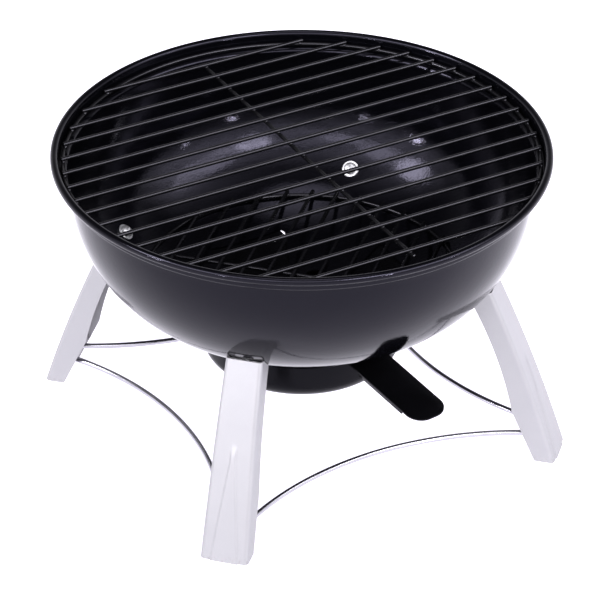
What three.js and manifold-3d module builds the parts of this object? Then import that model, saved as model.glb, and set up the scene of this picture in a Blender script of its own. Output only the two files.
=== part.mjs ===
// Portable tabletop charcoal grill: a round bowl on four channel legs tied by wire braces,
// a cooking grate, a charcoal grate, a rotary air damper with its lever, and an ash pan.
// Millimetres. The floor is z = 0, z points up and the bowl's axis is x = y = 0.
import * as THREE from 'three';
import { mergeVertices } from 'three/addons/utils/BufferGeometryUtils.js';
import Module from 'manifold-3d';

const wasm = await Module();
wasm.setup();

// ---------------------------------------------------------------- driving dimensions

const GAP = 0.3; // clearance left between neighbouring pieces
const WALL_GAP = 0.4; // clearance left between the bowl and the pieces lying against it
const SHEET = 1.2; // sheet thickness of bowl, legs and lever

const BOWL = {
  radius: 168, // outside radius of the body just under the rim
  depth: 128.1,
  level: 217.3, // height at which the body is widest
  power: 2.4, // exponent of the body's curve
  floor: 90.5, // height of the flat centre of the underside
  flat: 38, // radius of that flat centre
};
const RIM = { wall: 174, shoulder: 213, ledge: 216.8, bead: 3, beadRadius: 177, beadHeight: 224.5 };
const VENT = { outer: 86, inner: 52, outerHalf: 32.5, innerHalf: 19, holeAt: 40, hole: 19 };
const CUT = { low: 80, high: 112 }; // heights that a vertical cut through the floor and damper runs between

const WIRE = 3; // wire of both grates
const SINK = 0.25; // how far one wire sinks into the next at a weld
const COOKING = {
  ring: 171, // radius of the ring's centre line
  ringZ: 218.7,
  bars: 17,
  pitch: 18.8,
  shift: 0, // how far the set of bars lies off the middle
  reach: 172.3, // radius at which the bars end
  crossX: 1.5,
  crossReach: 156,
};
const CHARCOAL = {
  ring: 115,
  ringZ: 118.1,
  bars: 11,
  pitch: 18.6,
  shift: 5.2,
  reach: 117.2,
  crossX: 0,
  crossReach: 99,
};

const LEG = {
  footRadius: 198, // outer face of the web at the floor
  lean: 0.3132,
  bow: 0.00055,
  top: 136,
  footWidth: 35,
  topWidth: 27,
  bend: 3, // outside radius of the two long bends
  footDepth: 14.7, // depth of the side flanges at the floor
  knee: [164.7, 39.2], // radius and height of the flange's knee
  tip: [125.7, 136], // where the flange edge would end without the bowl
  bulge: 4.5,
};
const RIB = { base: 4, peak: 76, halfWidth: 10, rise: 1, slope: 1.6 };
const TAB = { up: 3, down: 8, thickness: 1.2 };

const BRACE = { wire: 4, height: 18.2, nearest: 98.9, radius: 233, halfAngle: 33.2 };
const SCREW = { height: 131, shaft: 4, head: 9.5, headThickness: 3, neck: 2.3, end: 6.5 };
const SLOT = { length: 5.2, width: 1.1, depth: 1.6 }; // one arm of the screw's cross recess
const WASHER = { outside: 12.8, low: 0.8, thickness: 1.2 };
const NUT = { across: 7, height: 2.6 };
const HOLE = 4.8; // clearance hole for the leg screws

const DAMPER = { thickness: 1, radius: 94, hub: 29, flat: 37, bladeHalfAngle: 30, turned: 6 };
const CLIP = { from: 81, angle: 6.5 }; // the clipped outer corners of a damper blade
const LEVER = {
  azimuth: -82.5,
  top: 88.8,
  width: 31,
  bend: 78, // radius where it starts to slope down
  slope: 6,
  tip: 157.5,
  tail: 17,
  corner: 12.3,
};
const HEM = { from: 90, to: 139.7, depth: 2.8 };
const RIVET = { at: [14, 26], shaft: 4, head: 8, headThickness: 1.4 };

const PAN = { radius: 73.7, corner: 13, bottom: 56.8, rim: 85.5, sheet: 1, hem: 2.2 };
const CENTRE = { bolt: 6, bore: 6.8, spacer: 10, washer: 18, washerThickness: 1.4, end: 45 };
const HEAD = { radius: 6.5, side: 1.8, crown: 5, shoulder: 3.4, height: 4.2 };
const WING = { hubHeight: 7, hubTop: 5.6, hubEnd: 4.2, thickness: 1.6 };
// one wing's outline as radius and depth below the nut's top face
const WING_OUTLINE = [[3.6, 5], [9, 7.6], [14, 9.5], [16, 6.5], [13, 2.4], [5, 0.6]];

const LEGS = { front: -135, right: -45, back: 45, left: 135 };
const BRACES = { front_right: -90, right_back: 0, back_left: 90, left_front: 180 };

// ---------------------------------------------------------------- materials

function paint(color, roughness, metalness) {
  return new THREE.MeshStandardMaterial({ color, roughness, metalness });
}
const ENAMEL = paint(0x0b0b0e, 0.15, 0);
const GRATE_COAT = paint(0x161616, 0.45, 0);
const SILVER_PAINT = paint(0xd6d6dc, 0.35, 0.2);
const CHROME = paint(0xcfd2d6, 0.15, 1);
const ZINC = paint(0xb4b6b8, 0.35, 1);
const BLACK_PAINT = paint(0x101012, 0.4, 0);

// ---------------------------------------------------------------- solids and booleans

const radians = THREE.MathUtils.degToRad;

function bare(geometry) {
  geometry.deleteAttribute('normal');
  geometry.deleteAttribute('uv');
  return mergeVertices(geometry, 1e-4);
}

function toSolid(geometry) {
  const source = bare(geometry);
  return new wasm.Manifold(new wasm.Mesh({
    numProp: 3,
    vertProperties: new Float32Array(source.attributes.position.array),
    triVerts: new Uint32Array(source.index.array),
  }));
}

function toGeometry(solid) {
  const mesh = solid.getMesh();
  const geometry = new THREE.BufferGeometry();
  geometry.setAttribute('position', new THREE.BufferAttribute(mesh.vertProperties, 3));
  geometry.setIndex(new THREE.BufferAttribute(mesh.triVerts, 1));
  return geometry;
}

function joined(...geometries) {
  const solids = geometries.map(toSolid);
  return toGeometry(solids.reduce((whole, piece) => whole.add(piece)));
}

function without(geometry, ...tools) {
  return toGeometry(tools.reduce((rest, tool) => rest.subtract(toSolid(tool)), toSolid(geometry)));
}

function common(geometry, other) {
  return toGeometry(toSolid(geometry).intersect(toSolid(other)));
}

// A closed profile of [radius, height] points turned round the z axis.
function turned(profile, segments) {
  const points = profile.map(([r, z]) => new THREE.Vector2(r, z));
  return new THREE.LatheGeometry(points, segments).rotateX(Math.PI / 2);
}

function ring(inner, outer, low, high, segments) {
  return turned([[inner, low], [outer, low], [outer, high], [inner, high], [inner, low]], segments);
}

function rod(radius, low, high, segments) {
  return turned([[0, low], [radius, low], [radius, high], [0, high]], segments);
}

// A flat outline of [x, y] points raised from z = low to z = high.
function prism(outline, low, high) {
  const shape = new THREE.Shape(outline.map(([x, y]) => new THREE.Vector2(x, y)));
  const geometry = new THREE.ExtrudeGeometry(shape, { depth: high - low, bevelEnabled: false });
  return geometry.translate(0, 0, low);
}

function straightWire(diameter, length) {
  return new THREE.CylinderGeometry(diameter / 2, diameter / 2, length, 8);
}

function polar(radius, degrees) {
  return [radius * Math.cos(radians(degrees)), radius * Math.sin(radians(degrees))];
}

function arcPoints(centre, radius, fromDegrees, toDegrees, steps) {
  return Array.from({ length: steps + 1 }, (_, i) => {
    const angle = radians(fromDegrees + ((toDegrees - fromDegrees) * i) / steps);
    return [centre[0] + radius * Math.cos(angle), centre[1] + radius * Math.sin(angle)];
  });
}

// Skins a row of equal-length closed 3-D outlines and caps both ends.
function lofted(outlines, flatOutline) {
  const count = outlines[0].length;
  const index = [];
  for (let row = 0; row < outlines.length - 1; row += 1) {
    for (let i = 0; i < count; i += 1) {
      const a = row * count + i;
      const b = row * count + ((i + 1) % count);
      index.push(a, b, b + count, a, b + count, a + count);
    }
  }
  const last = (outlines.length - 1) * count;
  const caps = THREE.ShapeUtils.triangulateShape(flatOutline.map(([x, y]) => new THREE.Vector2(x, y)), []);
  for (const [a, b, c] of caps) {
    index.push(a, c, b, last + a, last + b, last + c);
  }
  const geometry = new THREE.BufferGeometry();
  geometry.setAttribute('position', new THREE.Float32BufferAttribute(outlines.flat(2), 3));
  geometry.setIndex(index);
  return geometry;
}

// ---------------------------------------------------------------- bowl

// Radius of the bowl's body at height z, and height at radius r, moved inwards by `inset`.
function bodyRadius(z, inset = 0) {
  const drop = (BOWL.level - z) / (BOWL.depth - inset);
  return (BOWL.radius - inset) * Math.max(0, 1 - drop ** BOWL.power) ** (1 / BOWL.power);
}

function bodyHeight(r, inset = 0) {
  const reach = r / (BOWL.radius - inset);
  return BOWL.level - (BOWL.depth - inset) * (1 - reach ** BOWL.power) ** (1 / BOWL.power);
}

function bodyCurve(inset) {
  const low = BOWL.floor + inset;
  const radii = [62, 88, 108, 122, 132, 140, 148, 158];
  const lower = radii.map((r) => [r, Math.max(low, bodyHeight(r, inset))]);
  return [[0, low], [BOWL.flat, low], ...lower, [bodyRadius(RIM.shoulder - 14, inset), RIM.shoulder - 14]];
}

function bowlProfile() {
  const outer = [
    ...bodyCurve(0),
    [168, RIM.shoulder],
    [169.4, RIM.ledge - SHEET - 0.8],
    [171, RIM.ledge - SHEET],
    [RIM.wall, RIM.ledge - SHEET],
    [RIM.wall + SHEET, RIM.ledge],
  ];
  const bead = arcPoints([RIM.beadRadius, RIM.beadHeight], RIM.bead, -127, 180, 9);
  const inner = [
    [RIM.wall, RIM.ledge + 0.8],
    [RIM.wall - 1, RIM.ledge],
    [170, RIM.ledge],
    [168, RIM.ledge - 1.2],
    [168 - SHEET, RIM.shoulder],
    ...bodyCurve(SHEET).reverse(),
  ];
  return [...outer, ...bead, ...inner];
}

function centreBore() {
  return rod(CENTRE.bore / 2, CUT.low, CUT.high, 16);
}

function screwHole(azimuth) {
  return onWall(rod(HOLE / 2, -SCREW.end, SCREW.end, 14), azimuth);
}

function ventWindow(azimuth) {
  const { outer, inner, outerHalf, innerHalf } = VENT;
  const outline = [[outer, -outerHalf], [outer, outerHalf], [inner, innerHalf], [inner, -innerHalf]];
  return prism(outline, CUT.low, CUT.high).rotateZ(radians(azimuth));
}

function bowl() {
  const cuts = [centreBore()];
  for (const azimuth of Object.values(BRACES)) {
    cuts.push(ventWindow(azimuth));
  }
  for (const azimuth of Object.values(LEGS)) {
    const hole = rod(VENT.hole / 2, CUT.low, CUT.high, 24);
    cuts.push(hole.translate(VENT.holeAt, 0, 0).rotateZ(radians(azimuth)));
    cuts.push(screwHole(azimuth));
  }
  return without(turned(bowlProfile(), 56), ...cuts);
}

// ---------------------------------------------------------------- grates

// Round wire ring with straight bars welded on top and one cross wire under them.
function grate({ ring: radius, ringZ, bars, pitch, reach, crossReach, crossX, shift }) {
  const barZ = ringZ + WIRE - SINK;
  const pieces = [new THREE.TorusGeometry(radius, WIRE / 2, 8, 56).translate(0, 0, ringZ)];
  for (let i = 0; i < bars; i += 1) {
    const y = shift + (i - (bars - 1) / 2) * pitch;
    const length = 2 * Math.sqrt(reach ** 2 - y ** 2);
    pieces.push(straightWire(WIRE, length).rotateZ(Math.PI / 2).translate(0, y, barZ));
  }
  pieces.push(straightWire(WIRE, 2 * crossReach).translate(crossX, 0, ringZ));
  return joined(...pieces);
}

// ---------------------------------------------------------------- legs

// In a leg's own frame x runs sideways, y outwards and z up.
function placeAt(geometry, azimuth) {
  return geometry.rotateZ(radians(azimuth - 90));
}

function webRadius(z) {
  return LEG.footRadius - LEG.lean * z - LEG.bow * z ** 2;
}

function halfWidth(z) {
  return (LEG.footWidth - ((LEG.footWidth - LEG.topWidth) * z) / LEG.top) / 2;
}

function flangeRadius(z) {
  const [kneeRadius, kneeHeight] = LEG.knee;
  if (z <= kneeHeight) {
    const foot = LEG.footRadius - LEG.footDepth;
    return foot + ((kneeRadius - foot) * z) / kneeHeight;
  }
  const t = (z - kneeHeight) / (LEG.tip[1] - kneeHeight);
  const edge = kneeRadius + (LEG.tip[0] - kneeRadius) * t + 4 * LEG.bulge * t * (1 - t);
  const clear = Math.sqrt(Math.max(0, (bodyRadius(z) + WALL_GAP) ** 2 - halfWidth(z) ** 2));
  return Math.max(edge, clear);
}

// Half width and height of the pressed A-shaped rib at height z.
function ribAt(z) {
  const t = (z - RIB.base) / (RIB.peak - RIB.base);
  const half = RIB.halfWidth * (1 - THREE.MathUtils.clamp(t, 0, 0.97));
  const rise = RIB.rise * THREE.MathUtils.clamp(Math.min(z - 2, RIB.peak + 2 - z) / 3, 0, 1);
  return [half, rise];
}

function channelOutline(z) {
  const half = halfWidth(z);
  const outer = webRadius(z);
  const edge = flangeRadius(z);
  const [rib, rise] = ribAt(z);
  const bendY = outer - LEG.bend;
  const rightBend = [half - LEG.bend, bendY];
  const leftBend = [LEG.bend - half, bendY];
  const foot = rib + RIB.slope;
  return [
    [half, edge],
    ...arcPoints(rightBend, LEG.bend, 0, 90, 2),
    [foot, outer], [rib, outer + rise], [-rib, outer + rise], [-foot, outer],
    ...arcPoints(leftBend, LEG.bend, 90, 180, 2),
    [-half, edge],
    [SHEET - half, edge],
    ...arcPoints(leftBend, LEG.bend - SHEET, 180, 90, 2),
    [-foot, outer - SHEET], [-rib, outer - SHEET + rise], [rib, outer - SHEET + rise], [foot, outer - SHEET],
    ...arcPoints(rightBend, LEG.bend - SHEET, 90, 0, 2),
    [half - SHEET, edge],
  ];
}

// Moves a piece built along +z (z = 0 on the bowl's outside) to the leg screw at an azimuth.
function onWall(geometry, azimuth) {
  const r = bodyRadius(SCREW.height);
  const outward = (r ** (BOWL.power - 1)) / BOWL.radius ** BOWL.power;
  const drop = BOWL.level - SCREW.height;
  const downward = (drop ** (BOWL.power - 1)) / BOWL.depth ** BOWL.power;
  const tilt = Math.atan2(downward, outward);
  geometry.rotateX(-Math.PI / 2 - tilt).translate(0, r, SCREW.height);
  return placeAt(geometry, azimuth);
}

function leg(azimuth) {
  const stations = [0, 2, 5, 22, 39.2, 57, 75, 78, 98, 114, 126, 131, LEG.top];
  const outlines = stations.map((z) => channelOutline(z).map(([x, y]) => [x, y, z]));
  const channel = placeAt(lofted(outlines, channelOutline(0)), azimuth);
  const width = 2 * (halfWidth(SCREW.height) - SHEET) + 0.6;
  const tab = new THREE.BoxGeometry(width, TAB.up + TAB.down, TAB.thickness);
  tab.translate(0, (TAB.down - TAB.up) / 2, WALL_GAP + TAB.thickness / 2);
  return without(joined(channel, onWall(tab, azimuth)), screwHole(azimuth));
}

// ---------------------------------------------------------------- braces

class LevelArc extends THREE.Curve {
  constructor(halfAngle) {
    super();
    this.halfAngle = halfAngle;
  }

  getPoint(t, target = new THREE.Vector3()) {
    const angle = this.halfAngle * (1 - 2 * t);
    const centre = BRACE.nearest + BRACE.radius;
    return target.set(centre - BRACE.radius * Math.cos(angle), BRACE.radius * Math.sin(angle), BRACE.height);
  }
}

function brace(azimuth) {
  const outline = arcPoints([0, 0], BRACE.wire / 2, 0, 315, 7);
  const circle = new THREE.Shape(outline.map(([x, y]) => new THREE.Vector2(x, y)));
  const path = new LevelArc(radians(BRACE.halfAngle));
  const wire = new THREE.ExtrudeGeometry(circle, { steps: 12, bevelEnabled: false, extrudePath: path });
  return wire.rotateZ(radians(azimuth));
}

// ---------------------------------------------------------------- leg fasteners

function legScrew(azimuth) {
  const headLow = -SHEET - SCREW.neck - SCREW.headThickness;
  const headHigh = headLow + SCREW.headThickness;
  const shaft = SCREW.shaft / 2;
  const head = SCREW.head / 2;
  const profile = [
    [0, headLow], [head - 1.6, headLow], [head - 0.4, headLow + 0.9], [head, headHigh],
    [shaft, headHigh], [shaft, SCREW.end], [0, SCREW.end],
  ];
  const slots = [0, 90].map((angle) => {
    const slot = new THREE.BoxGeometry(SLOT.length, SLOT.width, 2 * SLOT.depth).translate(0, 0, headLow);
    return slot.rotateZ(radians(angle));
  });
  return onWall(without(turned(profile, 16), ...slots), azimuth);
}

function legWasher(azimuth) {
  const high = -SHEET - WASHER.low;
  return onWall(ring(HOLE / 2, WASHER.outside / 2, high - WASHER.thickness, high, 20), azimuth);
}

function hexNut(across, height, bore) {
  const corner = across / Math.sqrt(3);
  const hexagon = new THREE.CylinderGeometry(corner, corner, height, 6);
  hexagon.rotateY(Math.PI / 6).rotateX(Math.PI / 2); // a flat side faces up the wall
  return without(hexagon, rod(bore / 2, -height, height, 12));
}

function legNut(azimuth) {
  const low = WALL_GAP + TAB.thickness + GAP;
  const nut = hexNut(NUT.across, NUT.height, SCREW.shaft + 2 * GAP);
  return onWall(nut.translate(0, 0, low + NUT.height / 2), azimuth);
}

// ---------------------------------------------------------------- damper and lever

function damperOutline() {
  const outline = [];
  const blade = DAMPER.bladeHalfAngle;
  const tip = blade - CLIP.angle;
  for (let quarter = 0; quarter < 360; quarter += 90) {
    outline.push(polar(CLIP.from, quarter - blade));
    outline.push(...arcPoints([0, 0], DAMPER.radius, quarter - tip, quarter + tip, 6));
    outline.push(polar(CLIP.from, quarter + blade));
    outline.push(...arcPoints([0, 0], DAMPER.hub, quarter + blade, quarter + 90 - blade, 3));
  }
  return outline;
}

function damperPlate() {
  const dish = (drop) => {
    const low = BOWL.floor - drop;
    return [[0, low], [DAMPER.flat, low], ...[60, 74, 85, 97].map((r) => [r, bodyHeight(r) - drop])];
  };
  const under = dish(WALL_GAP + DAMPER.thickness);
  const over = dish(WALL_GAP).reverse();
  const plate = common(turned([...under, ...over], 40), prism(damperOutline(), CUT.low, CUT.high));
  plate.rotateZ(radians(DAMPER.turned));
  const holes = RIVET.at.map((r) => leverHole(r, RIVET.shaft / 2 + GAP));
  return without(plate, centreBore(), ...holes);
}

// A hole through damper and lever at radius r along the lever.
function leverHole(r, radius) {
  return rod(radius, CUT.low, CUT.high, 12).translate(r, 0, 0).rotateZ(radians(LEVER.azimuth));
}

// Side view of the lever between two radii, `down` below its top face.
function leverSide(from, to, down, thickness) {
  const fall = Math.tan(radians(LEVER.slope));
  const topAt = (x) => LEVER.top - down - Math.max(0, x - LEVER.bend) * fall;
  const stops = from < LEVER.bend ? [from, LEVER.bend, to] : [from, to];
  const over = stops.map((x) => [x, topAt(x)]);
  const under = stops.map((x) => [x, topAt(x) - thickness]).reverse();
  return [...over, ...under].reverse();
}

// Turns a side view in x-z into a strip between two y positions.
function strip(outline, fromY, toY) {
  return prism(outline, fromY, toY).rotateX(Math.PI / 2).translate(0, fromY + toY, 0);
}

function damperLever() {
  const half = LEVER.width / 2;
  const tip = LEVER.tip - LEVER.corner;
  const side = half - LEVER.corner;
  const outline = [
    ...arcPoints([tip, side], LEVER.corner, 0, 90, 5),
    ...arcPoints([0, 0], LEVER.tail + 1, 120, 240, 6),
    ...arcPoints([tip, -side], LEVER.corner, -90, 0, 5),
  ];
  const plate = strip(leverSide(-LEVER.tail - 2, LEVER.tip + 2, 0, SHEET), -half, half);
  const hem = leverSide(HEM.from, HEM.to, 0.4, HEM.depth);
  const hems = [strip(hem, half - SHEET, half - 0.01), strip(hem, 0.01 - half, SHEET - half)];
  const lever = joined(common(plate, prism(outline, 0, CUT.high)), ...hems).rotateZ(radians(LEVER.azimuth));
  const holes = RIVET.at.map((r) => leverHole(r, RIVET.shaft / 2 + GAP));
  return without(lever, centreBore(), ...holes);
}

function leverRivet(r) {
  const high = BOWL.floor - WALL_GAP;
  const neck = LEVER.top - SHEET - GAP;
  const low = neck - RIVET.headThickness;
  const head = RIVET.head / 2;
  const shaft = RIVET.shaft / 2;
  const profile = [
    [0, low], [head - 1.5, low], [head, neck - 0.4], [head, neck], [shaft, neck], [shaft, high], [0, high],
  ];
  return turned(profile, 14).translate(r, 0, 0).rotateZ(radians(LEVER.azimuth));
}

// ---------------------------------------------------------------- ash pan and its fixing

function ashPan() {
  const { radius, corner, bottom, rim, sheet, hem } = PAN;
  const outerCorner = arcPoints([radius - corner, bottom + corner], corner, -90, 0, 4);
  const innerCorner = arcPoints([radius - corner, bottom + corner], corner - sheet, 0, -90, 4);
  const bore = CENTRE.bore / 2;
  const profile = [
    [bore, bottom], ...outerCorner, [radius, rim], [radius - hem, rim], [radius - hem, rim - 3],
    [radius - sheet, rim - 4], ...innerCorner, [bore, bottom + sheet], [bore, bottom],
  ];
  return turned(profile, 40);
}

function centreBolt() {
  const headLow = BOWL.floor + SHEET + 2 * GAP + CENTRE.washerThickness;
  const shaft = CENTRE.bolt / 2;
  const profile = [
    [0, CENTRE.end], [shaft - 0.6, CENTRE.end], [shaft, CENTRE.end + 0.8], [shaft, headLow],
    [HEAD.radius, headLow], [HEAD.radius, headLow + HEAD.side],
    [HEAD.crown, headLow + HEAD.shoulder], [0, headLow + HEAD.height],
  ];
  return turned(profile, 18);
}

function washerFrom(low) {
  return ring(CENTRE.bore / 2, CENTRE.washer / 2, low, low + CENTRE.washerThickness, 24);
}

function panSpacer() {
  const high = LEVER.top - SHEET - GAP;
  return ring(CENTRE.bore / 2, CENTRE.spacer / 2, PAN.bottom + PAN.sheet + GAP, high, 18);
}

function wingNut() {
  const high = PAN.bottom - 2 * GAP - CENTRE.washerThickness;
  const low = high - WING.hubHeight;
  const hub = turned([[0, low], [WING.hubEnd, low], [WING.hubTop, high], [0, high]], 16);
  const outline = WING_OUTLINE.map(([r, depth]) => [r, high - depth]);
  const half = WING.thickness / 2;
  const wings = [0, 180].map((angle) => strip(outline, -half, half).rotateZ(radians(angle)));
  return without(joined(hub, ...wings), rod(CENTRE.bore / 2, low - GAP, high + GAP, 14));
}

// ---------------------------------------------------------------- assembly

const grill = new THREE.Group();

function add(name, geometry, material) {
  const mesh = new THREE.Mesh(mergeVertices(bare(geometry), 1e-3), material);
  mesh.name = name;
  grill.add(mesh);
}

add('bowl', bowl(), ENAMEL);
add('cooking_grate', grate(COOKING), GRATE_COAT);
add('charcoal_grate', grate(CHARCOAL).rotateZ(radians(45)), GRATE_COAT);

for (const [side, azimuth] of Object.entries(LEGS)) {
  add(`leg_${side}`, leg(azimuth), SILVER_PAINT);
  add(`leg_screw_${side}`, legScrew(azimuth), ZINC);
  add(`leg_washer_${side}`, legWasher(azimuth), ZINC);
  add(`leg_nut_${side}`, legNut(azimuth), ZINC);
}

for (const [side, azimuth] of Object.entries(BRACES)) {
  add(`brace_${side}`, brace(azimuth), CHROME);
}

add('damper_plate', damperPlate(), BLACK_PAINT);
add('damper_lever', damperLever(), BLACK_PAINT);
RIVET.at.forEach((r, i) => add(`lever_rivet_${i + 1}`, leverRivet(r), ZINC));

add('ash_pan', ashPan(), BLACK_PAINT);
add('pan_spacer', panSpacer(), ZINC);
add('centre_bolt', centreBolt(), ZINC);
add('centre_washer', washerFrom(BOWL.floor + SHEET + GAP), ZINC);
add('pan_washer', washerFrom(PAN.bottom - GAP - CENTRE.washerThickness), ZINC);
add('pan_wing_nut', wingNut(), ZINC);

export default grill;
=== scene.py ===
"""Looks of the portable tabletop grill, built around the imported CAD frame.

Shapes are worked out in millimetres and scaled to metres when a mesh is made.
A shell is a pair of lists, (points, faces), of one closed surface or of several.
"""
import math

import bpy
from mathutils import Matrix, Vector


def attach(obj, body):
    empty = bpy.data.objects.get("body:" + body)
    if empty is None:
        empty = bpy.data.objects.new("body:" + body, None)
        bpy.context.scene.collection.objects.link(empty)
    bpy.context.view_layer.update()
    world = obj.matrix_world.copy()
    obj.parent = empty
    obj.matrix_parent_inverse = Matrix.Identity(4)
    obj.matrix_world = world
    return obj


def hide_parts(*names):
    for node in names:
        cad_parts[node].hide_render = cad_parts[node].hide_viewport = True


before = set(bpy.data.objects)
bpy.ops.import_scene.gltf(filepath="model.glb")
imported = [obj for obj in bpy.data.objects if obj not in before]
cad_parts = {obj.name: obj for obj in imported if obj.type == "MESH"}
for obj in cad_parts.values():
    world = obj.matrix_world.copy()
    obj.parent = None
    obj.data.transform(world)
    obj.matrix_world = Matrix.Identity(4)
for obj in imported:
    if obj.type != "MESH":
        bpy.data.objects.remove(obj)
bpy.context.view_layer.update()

MM = 0.001

# ---------------------------------------------------------------- driving dimensions
# Millimetres and degrees. Heights are above the floor and radii are from the bowl's axis. The
# sizes along a leg screw, and the tab's, are from the outside of the bowl's wall.

GAP = 0.3
WALL_GAP = 0.4
SHEET = 1.2

# Spans of the cutters that go through the bowl's floor, its wall and the lever.
FLOOR_CUT = (80.0, 112.0)
WALL_CUT = (-6.0, 6.0)
LEVER_CUT = (40.0, 112.0)

BOWL_RADIUS = 168.0
BOWL_DEPTH = 128.1
BOWL_LEVEL = 217.3
BOWL_POWER = 2.4
BOWL_SWEEP = 88.5
BOWL_FLOOR = 90.5
FLOOR_MIDDLE = 20.0
SHOULDER = (171.0, 213.0)
SHOULDER_RISE = (3.0, 2.6)
RIM_CORNER = (173.2, 217.6)
RIM_CORNER_RADIUS = 2.0
BEAD = (177.0, 224.5)
BEAD_RADIUS = 3.0
BEAD_END = -125

VENT = ((86.0, -32.5), (86.0, 32.5), (52.0, 19.0), (52.0, -19.0))
VENT_CORNER = 3.0
ASH_HOLE_AT = 40.0
ASH_HOLE_RADIUS = 9.5
CENTRE_BORE = 6.8

WIRE = 3.0
WIRE_SINK = 0.25
RING_WELD = (1.3, 0.9)
RING_WELD_RISE = 1.3
RING_WELD_SIDE = 1.1
CROSS_WELD = (1.4, 0.8)
CROSS_WELD_RISE = 1.4
COOKING_GRATE = {
    "radius": 171.0, "height": 218.7, "bars": 17, "pitch": 18.8, "reach": 172.3,
    "cross_reach": 156.0, "cross_x": 1.5, "shift": 0.0,
}
CHARCOAL_GRATE = {
    "radius": 115.0, "height": 118.1, "bars": 11, "pitch": 18.6, "reach": 117.2,
    "cross_reach": 99.0, "cross_x": 0.0, "shift": 5.2,
}
CHARCOAL_TURN = 45

LEG_TOP = 136.0
LEG_BEND = 3.0
LEG_WIDTH = 35.0
LEG_TAPER = 8.0
LEG_SLOPE = 0.3132
LEG_CURVE = 0.00055
LEG_KNEE = (164.7, 39.2)
LEG_TIP = (125.7, 136.0)
LEG_BULGE = 4.5
FOOT_RADIUS = 198.0
FOOT_DEPTH = 14.7
RIB_TOP = 81.0
RIB_NECK = 69.0
RIB_BASE = -6.0
RIB_HALF = 2.0
RIB_SPREAD = 0.118
RIB_RISE = 0.9
RIB_SLOPE = 1.7
RIB_FADE_TOP = 8.0
RIB_FADE_BASE = 3.0
TAB_SPAN = (-3.0, 8.0)
TAB_OVERLAP = 0.3
TAB_CORNER = 0.8

BRACE_WIRE = 4.0
BRACE_HEIGHT = 18.2
BRACE_NEAREST = 98.9
BRACE_BOW = 233.0
BRACE_SWEEP = 33.2

SCREW_HEIGHT = 131.0
SCREW_HOLE = 4.8
SCREW_SEAT = 1.7
SCREW_HEAD = 4.75
SCREW_HEAD_HEIGHT = 3.0
SCREW_DOME = 2.2
RECESS_WIDE = (2.5, 0.55, -0.4)
RECESS_DEEP = (1.1, 0.4, 2.0)
SCREW_SHANK = 2.0
SCREW_END = 6.5
SCREW_TIP = 1.6
SCREW_THREAD_SPAN = (-2.4, 6.0)
SCREW_THREAD = {"root": 1.75, "crest": 2.0, "pitch": 0.7, "flanks": (0.25, 0.35, 0.6)}
WASHER_RADIUS = 6.4
WASHER_SHEET = 1.2
NUT_ACROSS = 7.0
NUT_HEIGHT = 2.6
NUT_BORE = 4.6
NUT_FACE = 0.96
NUT_CHAMFER = 0.6

DAMPER_SHEET = 1.0
DAMPER_TURN = 6
DAMPER_HUB = 29.0
DAMPER_FLAT = 36.0
BLADE_CORNER = 81.0
BLADE_HALF_ANGLE = 30.0
BLADE_CORNER_ANGLE = 0.1
BLADE_TIP = 94.0
BLADE_TIP_HALF_ANGLE = 23.5

LEVER_AZIMUTH = -82.5
LEVER_TOP = 88.8
LEVER_HALF = 15.5
LEVER_BEND = 78.0
LEVER_EASE = 5.0
LEVER_SLOPE = 6.0
LEVER_TIP = 157.5
LEVER_CORNER = 12.3
LEVER_TAIL = 18.0
HEM_SPAN = (90.0, 139.7)
HEM_DEPTH = 3.0
HEM_DROP = 0.3
HEM_INSET = 0.05
LEVER_EDGE = 0.3
RIVETS_AT = (14.0, 26.0)
RIVET_HOLE = 4.6
RIVET_SHANK = 4.0
RIVET_HEAD = (4.0, 1.4)

PAN_RADIUS = 73.7
PAN_BOTTOM = 56.8
PAN_RIM = 85.5
PAN_SHEET = 1.0
PAN_CORNER = 13.0
PAN_FLAT = 24.0
PAN_LIP = 1.1
PAN_LIP_DEPTH = (3.0, 4.0)
SPACER_SPAN = (58.1, 87.3)
SPACER_RADIUS = 5.0
BOLT_SHANK = 3.0
BOLT_END = 45.0
BOLT_TIP = 2.4
BOLT_PLAIN = 57.0
BOLT_HEAD = (6.3, 1.6)
BOLT_DOME = (6.5, 2.6)
BOLT_THREAD_SPAN = (46.0, 56.0)
BOLT_THREAD = {"root": 2.7, "crest": 3.0, "pitch": 1.0, "flanks": (0.35, 0.5, 0.9)}
PLAIN_WASHER_RADIUS = 9.0
PLAIN_WASHER_SHEET = 1.4
WING = ((3.2, -5.2), (9.0, -7.8), (14.6, -9.4), (16.0, -6.4), (12.6, -2.2), (4.0, -0.6))
WING_HUB = ((0.0, -7.0), (3.9, -7.0), (4.3, -6.6), (5.6, -0.5), (5.4, 0.0), (0.0, 0.0))
WING_CORNER = 1.0
WING_HALF = 0.8
WING_BORE = 6.6
WING_CUT = (-12.0, 4.0)
WING_EDGE = 0.25

LEGS = {"front": -135, "right": -45, "back": 45, "left": 135}
BRACES = {"front_right": -90, "right_back": 0, "back_left": 90, "left_front": 180}
STAND = "stand_and_bowl"

# ---------------------------------------------------------------- studio
# Metres and degrees, with the lens in millimetres. A sky tone is (height of the direction,
# brightness), and a panel is (azimuth, elevation, width, height, radiance) seen from the grill.

VIEW_AZIMUTH = -29.025
VIEW_ELEVATION = 32.643
VIEW_ROLL = 0.1
VIEW_DISTANCE = 2.3862
VIEW_SIDE = -0.0011
VIEW_HEIGHT = 0.0968
LENS = 194.28
SENSOR = 36.0

FLOOR_HALF = 6.0
FLOOR_LEVEL = -0.0005
FLOOR_GLOW = (0.54, 1.4)
FLOOR_GLOW_SPAN = (-0.45, 0.35)
FLOOR_GLOW_COLOR = (0.92, 0.89, 1.0, 1)

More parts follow.
